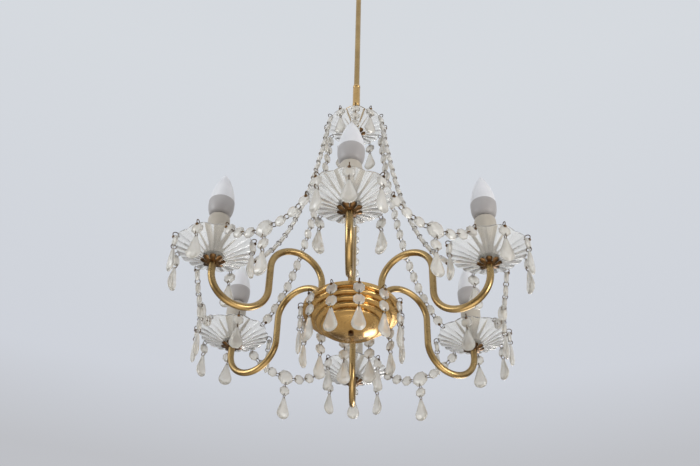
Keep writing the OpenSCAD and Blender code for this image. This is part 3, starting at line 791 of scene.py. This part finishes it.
def petal_pan_mesh(bore):
    """A stamped pan: eight dished petals with slots between them and a turned hub."""
    petals, steps, across, flat_r = 8, 8, 12, 7.0
    verts, faces = [], []
    for p in range(petals):
        first = len(verts)
        for i in range(steps + 1):
            t = i / steps
            r = flat_r + (PAN_R - flat_r) * t
            spread_angle = 360 / petals * (0.5 - 0.09 * min(1, 6 * t) - 0.16 * max(0, t - 0.75) * 4 * t)
            for j in range(across + 1):
                u = 2 * j / across - 1
                a = math.radians(360 / petals * p + u * spread_angle)
                rr = r - 1.2 * t * u * u
                z = 0.6 + 4.4 * t**1.4 - 1.0 * t * (1 - u * u)
                verts.append((rr * math.cos(a), rr * math.sin(a), z))
        for i in range(steps):
            for j in range(across):
                row = across + 1
                q = first + i * row + j
                faces.append([q, q + 1, q + row + 1, q + row])
    shell = mesh_from("petals", verts, faces, 60)
    holder = bpy.data.objects.new("petals", shell)
    bpy.context.scene.collection.objects.link(holder)
    solid = holder.modifiers.new("thick", "SOLIDIFY")
    solid.thickness, solid.offset = 0.7 * MM, 0
    thick = bpy.data.meshes.new_from_object(holder.evaluated_get(bpy.context.evaluated_depsgraph_get()))
    bpy.data.objects.remove(holder)
    turning = [(bore, 0.0), (6.4, 0.0), (7.6, 0.5), (8.2, 1.4), (7.4, 1.5), (6.2, 1.1), (bore, 1.1)]
    hub = lathe("hub", turning, 48)
    mesh = joined("petal_pan", [(thick, HERE), (hub, HERE)])
    finish_shading(mesh, 40)
    return mesh


CANDLE_PAN = petal_pan_mesh(CANDLE_BORE)
CROWN_PAN = petal_pan_mesh(COLUMN_R + 0.1)
for k in range(1, ARMS + 1):
    add_piece(f"candle_pan_{k}", CANDLE_PAN, at_candle(k) @ turn(22.5), "chandelier",
              AGED_BRASS, ["candle_pans"])
add_piece("crown_petals", CROWN_PAN, PANS @ shift(0, 0, CROWN_HUB), "chandelier",
          AGED_BRASS, ["crown_pan"])

ARM_FOOT_R, ARM_R, ARCH_R, ARCH_Z, CUP_Z, ARM_END = 50.0, 5.0, 41.0, 27.0, 12.0, 12.0
CUP_R = (CANDLE_R - ARM_FOOT_R - 2 * ARCH_R) / 2


def arm_path():
    """The arm's centre line: up, over the arch, down, round the cup bend and up to the pan."""
    fall_x = ARM_FOOT_R + 2 * ARCH_R
    path = [(ARM_FOOT_R, -ARM_END), (ARM_FOOT_R, 0), (ARM_FOOT_R, ARCH_Z * 0.6)]
    path += arc(ARM_FOOT_R + ARCH_R, ARCH_Z, ARCH_R, 180, 0, 32)
    path += arc(fall_x + CUP_R, -CUP_Z, CUP_R, 180, 360, 32)
    return path + [(CANDLE_R, -CUP_Z * 0.5), (CANDLE_R, 0)]


ARM = sweep("arm", arm_path(), ARM_R)
for k in range(1, ARMS + 1):
    add_piece(f"arm_{k}_tube", ARM, around(arm_turn(k)), "chandelier", TUBE_BRASS,
              [f"arm_{k}"])


def bowl_profile():
    """Outside, then inside, of the stepped bowl: a rolled skirt, four rounded bands and a dome."""
    skirt, depth, wall, bands, band_w = 7.0, 40.0, 1.2, 4, 7.5
    dome_r, dome_top, bore_angle = 36.0, 31.0, 0.037
    band_h = (dome_top - skirt) / bands
    outside = [(BOWL_R - 0.8, 0.0)] + arc(BOWL_R - 0.6, -skirt / 2, 0.6, 80, -80, 8, skirt / 2)
    for i in range(bands):
        outer = BOWL_R - 4.5 - band_w * i
        top = -skirt - band_h * i
        outside.append((outer - 0.9, top - 0.1))
        for a in range(60, -91, -15):
            bulge, rise = math.cos(math.radians(a)), math.sin(math.radians(a))
            outside.append((outer - band_w * 0.32 * (1 - bulge), top - band_h * (0.5 - 0.5 * rise)))
    ball = (dome_r**2 + (depth - dome_top) ** 2) / (2 * (depth - dome_top))
    edge = math.asin(dome_r / ball)
    for i in range(17):
        a = edge * (1 - i / 16) if i < 16 else bore_angle
        outside.append((ball * math.sin(a), -depth + ball * (1 - math.cos(a))))
    inside = [(r - wall if r > 2 * wall + 2 else r, z + wall) for r, z in outside[1:]]
    return outside + inside[::-1] + [(BOWL_R - wall, 0.0)]


bowl_mesh = lathe("bowl", bowl_profile(), 120, 50)
bowl_holes = [turn(a) @ shift(BOWL_R, 0, -4.6) for a in bowl_turns]
bowl_mesh = drilled(bowl_mesh, bowl_holes, HOLE_R, 8, "X")
finish_shading(bowl_mesh, 50)
add_piece("bowl", bowl_mesh, PANS, "chandelier", BRASS, ["bowl_shell"])


# ---------------------------------------------------------------- rod, canopy and turned brass
def turned(name, profile, body, node, material=BRASS, segments=48):
    """A brass lathe piece on the chandelier's axis, with heights in millimetres above the pans."""
    add_piece(name, lathe(name, profile, segments), PANS, body, material, [node])


def bar(node, r, bore, chamfer=0.2):
    """The profile of a round bar or tube as long as its CAD node."""
    low, high = foot_of(node), top_of(node)
    return [(bore, low), (r - chamfer, low), (r, low + chamfer), (r, high - chamfer), (r - chamfer, high),
            (bore, high)]


ROD_R = 5.0
turned("rod", bar("drop_rod", ROD_R, 3.5), "chandelier", "drop_rod", TUBE_BRASS)
turned("column", bar("centre_column", COLUMN_R, 3.6), "chandelier", "centre_column", TUBE_BRASS)
coupling_low, coupling_top = foot_of("rod_coupling"), top_of("rod_coupling")
turned("coupling", [(COLUMN_R + 0.02, coupling_low), (5.9, coupling_low), (6.5, coupling_low + 1.0),
                    (6.5, coupling_low + 5), (6.0, coupling_low + 5.6), (6.0, coupling_low + 6.6),
                    (6.5, coupling_low + 7.2), (6.5, coupling_top - 7.2), (6.0, coupling_top - 6.6),
                    (6.0, coupling_top - 5.6), (6.5, coupling_top - 5), (6.5, coupling_top - 1.0),
                    (5.9, coupling_top), (ROD_R + 0.02, coupling_top)],
       "chandelier", "rod_coupling")
collar_low, collar_top = foot_of("crown_collar"), top_of("crown_collar")
turned("crown_washer", [(COLUMN_R + 0.02, collar_low), (7.4, collar_low)]
       + arc(7.4, collar_low + 1.1, 1.1, -90, 0, 4) + [(8.5, collar_top - 0.6), (8.0, collar_top)]
       + [(COLUMN_R + 0.02, collar_top)], "chandelier", "crown_collar")


def canopy_profile():
    """Bell canopy with a rolled rim and a step above its neck."""
    rim_r, neck, wall = half_width("canopy"), 8.0, 1.2
    low, high = foot_of("canopy"), top_of("canopy")
    depth = high - low - 2
    outside = [(rim_r - 1.4, high)] + arc(rim_r - 0.9, high - 1.5, 0.9, 60, -60, 5, 1.5)
    for t in range(6, 91, 4):
        a = math.radians(t)
        outside.append((neck + (rim_r - neck) * math.cos(a), high - depth * math.sin(a)))
    outside += [(neck + 1.2, low + 1.6), (neck + 1.2, low + 0.6), (neck + 0.6, low), (ROD_R + 0.1, low)]
    inside = [(ROD_R + 0.1, low + 3.2)]
    for t in range(90, 5, -6):
        a = math.radians(t)
        inside.append((neck + (rim_r - wall - neck) * math.cos(a), high - (depth - wall) * math.sin(a)))
    return outside + inside + [(rim_r - 1.8, high - 1.0)]


turned("canopy_bell", canopy_profile(), "canopy", "canopy", segments=96)
lock_low, lock_top = foot_of("canopy_collar"), top_of("canopy_collar")
turned("canopy_lock", [(ROD_R + 0.1, lock_low), (7.6, lock_low)] + arc(7.6, lock_low + 1.4, 1.4, -90, 0, 5)
       + [(9.0, lock_top - 1.6), (8.3, lock_top - 1.0), (8.3, lock_top), (ROD_R + 0.1, lock_top)],
       "canopy", "canopy_collar")


# ---------------------------------------------------------------- candles and lamps
SLEEVE_R, SLEEVE_NECK, SLEEVE_WALL = 15.5, 10.6, 1.6


def sleeve_profile():
    low, high = foot_of("candle_sleeves"), top_of("candle_sleeves")
    outside = [(SLEEVE_R - SLEEVE_WALL, low), (SLEEVE_R - 0.4, low), (SLEEVE_R, low + 0.4)]
    outside += arc(SLEEVE_NECK + 1.2, high - 7, SLEEVE_R - SLEEVE_NECK - 1.2, 0, 90, 12, 7)
    inside = [(SLEEVE_NECK + 0.3, high), (SLEEVE_NECK, high - 0.4), (SLEEVE_NECK, high - 1.6)]
    return outside + inside + [(SLEEVE_R - SLEEVE_WALL, high - 8.5)]


SLEEVE = lathe("candle_sleeve", sleeve_profile(), 64)
CAP_R, CAP_LOW, BASE_LOW, LAMP_R = 6.9, 58.0, 84.0, 18.5
BASE_TOP, LAMP_TIP = top_of("bulb_base_1"), top_of("bulb_globe_1")


def cap_profile():
    """A lamp's screw cap: contact tip, insulator and six rounded threads."""
    points = [(0, CAP_LOW), (2.4, CAP_LOW), (2.6, CAP_LOW + 1.4), (4.6, CAP_LOW + 2.6), (6.0, CAP_LOW + 3.4)]
    threads, pitch = 6, 2.9
    for i in range(threads * 6 + 1):
        a = 2 * math.pi * i / 6
        points.append((CAP_R - 0.45 - 0.45 * math.cos(a), CAP_LOW + 4 + pitch * i / 6))
    return points + [(CAP_R, BASE_LOW - 3), (CAP_R, BASE_LOW + 4), (0, BASE_LOW + 4)]


def base_profile():
    recess = BASE_LOW + 3.5
    points = [(0, recess), (10.7, recess), (10.9, BASE_LOW + 0.3), (11.2, BASE_LOW), (11.5, BASE_LOW),
              (11.9, BASE_LOW + 0.4)]
    for t in range(4, 91, 6):
        a = math.radians(t)
        points.append((12.4 + (LAMP_R - 12.4) * math.sin(a), BASE_LOW + 1 + 20 * (1 - math.cos(a))))
    return points + [(LAMP_R, BASE_TOP - 0.8), (LAMP_R - 0.5, BASE_TOP), (0, BASE_TOP)]


def globe_profile():
    rise, widest = LAMP_TIP - BASE_TOP, LAMP_R - 0.5
    points = [(0, BASE_TOP + 0.02)]
    for i in range(31):
        t = (i / 30) ** 0.85
        points.append((widest * (1 - t**1.7) ** 0.85, BASE_TOP + 0.02 + (rise - 0.04) * t))
    return points


CAP, BASE = lathe("cap", cap_profile(), 40, 60), lathe("base", base_profile(), 64)
GLOBE = lathe("globe", globe_profile(), 64, 60)
for k in range(1, ARMS + 1):
    place = at_candle(k)
    add_piece(f"candle_sleeve_{k}", SLEEVE, place, "chandelier", CREAM, ["candle_sleeves"])
    add_piece(f"lamp_cap_{k}", CAP, place, f"bulb_{k}", STEEL, [f"bulb_base_{k}"])
    add_piece(f"lamp_collar_{k}", BASE, place, f"bulb_{k}", COLLAR, [f"bulb_base_{k}"])
    add_piece(f"lamp_globe_{k}", GLOBE, place, f"bulb_{k}", OPAL, [f"bulb_globe_{k}"])

# ---------------------------------------------------------------- CAD nodes that stay
KEPT = {
    "ceiling_bracket": STEEL, "ceiling_hook": STEEL, "hook_nut": STEEL, "collar_screw": BRASS,
    "rod_eye": BRASS, "crown_nut": BRASS, "bowl_cover": BRASS, "bowl_cap_nut": AGED_BRASS,
    "terminal_block": WHITE_WITH_PAINTED_BOUNCE, "arm_nuts": BRASS, "arm_wires": SHEATH, "candle_nipples": BRASS,
    "lampholders": WHITE_WITH_PAINTED_BOUNCE,
}
for node, material in KEPT.items():
    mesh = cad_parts[node].data
    mesh.materials.clear()
    mesh.materials.append(material)
